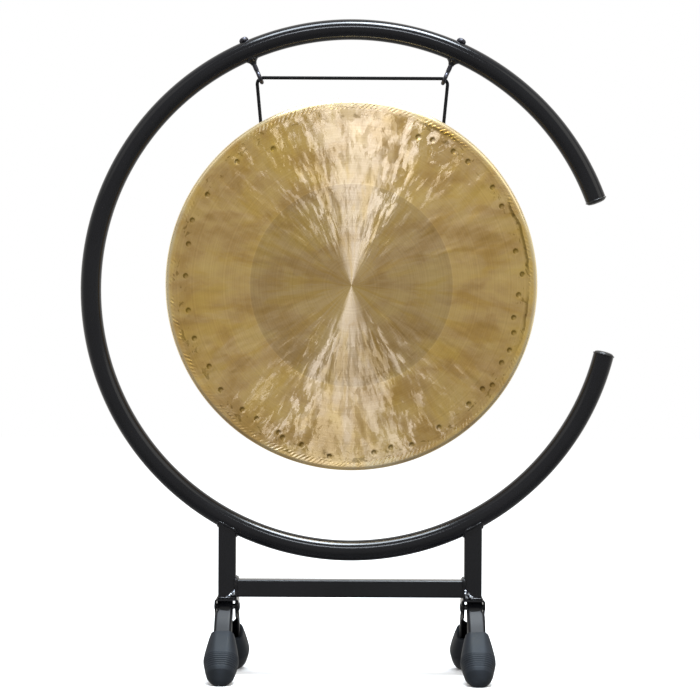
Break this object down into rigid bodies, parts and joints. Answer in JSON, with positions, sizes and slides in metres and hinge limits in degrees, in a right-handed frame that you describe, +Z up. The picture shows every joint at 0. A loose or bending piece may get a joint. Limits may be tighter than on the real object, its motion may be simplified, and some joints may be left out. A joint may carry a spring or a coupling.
{
  "type": "gong stand",
  "caption": "Table stand for a gong: an open round-tube hoop on short posts with folding rubber-footed legs, and a gong hung on a cord between eye bolts.",
  "frame": {"origin": "on the floor, under the middle of the overall outline (the hoop and its open side included)", "axes": "+X to the player's right, where the hoop is open; -Y towards the player; +Z up"},
  "size_m": [0.5762, 0.1446, 0.7102],
  "materials": {
    "black_paint": "glossy powder coat",
    "plug_plastic": "moulded, satin to gloss",
    "foot_rubber": "moulded, ribbed, semi-matt",
    "rivet_steel": "plain",
    "black_plated_steel": "black plated, bright",
    "gong_bronze": "hammered and lathed, light patina",
    "cord_braid": "braided"
  },
  "bodies": {
    "stand": {"hoop_tube": "black_paint", "end_plug_upper": "plug_plastic", "end_plug_lower": "plug_plastic", "crossbar": "black_paint", "cord_span": "cord_braid", "post_left": "black_paint", "leg_bracket_left": "black_paint", "pivot_rivet_left": "rivet_steel", "eye_bolt_left": "black_plated_steel", "eye_collar_left": "black_plated_steel", "cap_nut_left": "black_plated_steel", "post_right": "black_paint", "leg_bracket_right": "black_paint", "pivot_rivet_right": "rivet_steel", "eye_bolt_right": "black_plated_steel", "eye_collar_right": "black_plated_steel", "cap_nut_right": "black_plated_steel"},
    "hanging_gong": {"gong": "gong_bronze", "cord_drop_left": "cord_braid", "cord_drop_right": "cord_braid", "cord_knot_left": "cord_braid", "cord_knot_right": "cord_braid"},
    "front_leg_left": {"leg_front_left": "black_paint", "rubber_foot_front_left": "foot_rubber"},
    "rear_leg_left": {"leg_rear_left": "black_paint", "rubber_foot_rear_left": "foot_rubber"},
    "front_leg_right": {"leg_front_right": "black_paint", "rubber_foot_front_right": "foot_rubber"},
    "rear_leg_right": {"leg_rear_right": "black_paint", "rubber_foot_rear_right": "foot_rubber"}
  },
  "joints": [
    {"name": "gong_swing", "type": "hinge", "parent": "stand", "child": "hanging_gong", "pos_m": [0.00396, 0, 0.64654], "axis": [1, 0, 0], "range_deg": [-25, 25]},
    {"name": "front_leg_left_fold", "type": "hinge", "parent": "stand", "child": "front_leg_left", "pos_m": [-0.12854, 0, 0.0758], "axis": [1, 0, 0], "range_deg": [0, 20]},
    {"name": "rear_leg_left_fold", "type": "hinge", "parent": "stand", "child": "rear_leg_left", "pos_m": [-0.12854, 0, 0.0758], "axis": [1, 0, 0], "range_deg": [-20, 0]},
    {"name": "front_leg_right_fold", "type": "hinge", "parent": "stand", "child": "front_leg_right", "pos_m": [0.13646, 0, 0.0758], "axis": [1, 0, 0], "range_deg": [0, 20]},
    {"name": "rear_leg_right_fold", "type": "hinge", "parent": "stand", "child": "rear_leg_right", "pos_m": [0.13646, 0, 0.0758], "axis": [1, 0, 0], "range_deg": [-20, 0]}
  ]
}
